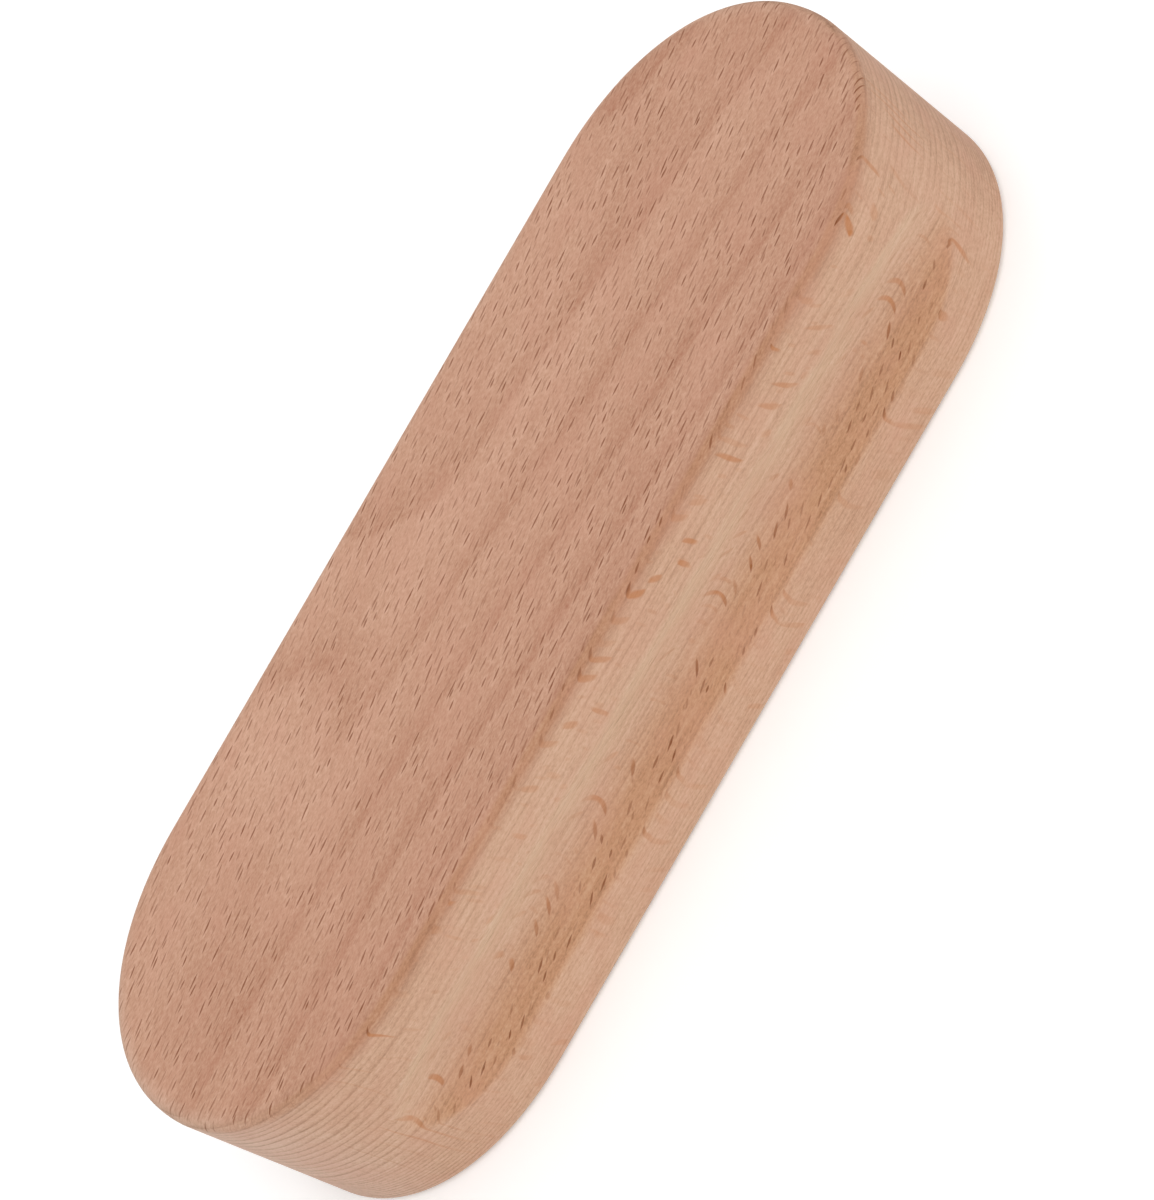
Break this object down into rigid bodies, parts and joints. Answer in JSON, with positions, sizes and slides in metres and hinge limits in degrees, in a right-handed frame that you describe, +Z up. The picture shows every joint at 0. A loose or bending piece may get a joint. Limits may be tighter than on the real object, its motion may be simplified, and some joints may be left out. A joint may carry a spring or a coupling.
{
  "type": "tailor's clapper",
  "caption": "Long oval-ended hardwood block with flat faces and a shallow finger groove along each side, held in the hand to press and flatten steamed seams.",
  "frame": {"origin": "middle of the resting face, at the bottom centre of the block", "axes": "+Y along the block's length, +X across it towards one finger groove, +Z up out of the pressing face"},
  "size_m": [0.0618, 0.2, 0.042],
  "materials": {
    "oiled_beech": "fine-sanded beech with a thin oil finish, flecked with darker rays"
  },
  "bodies": {
    "root": {"clapper_block": "oiled_beech"}
  },
  "joints": []
}
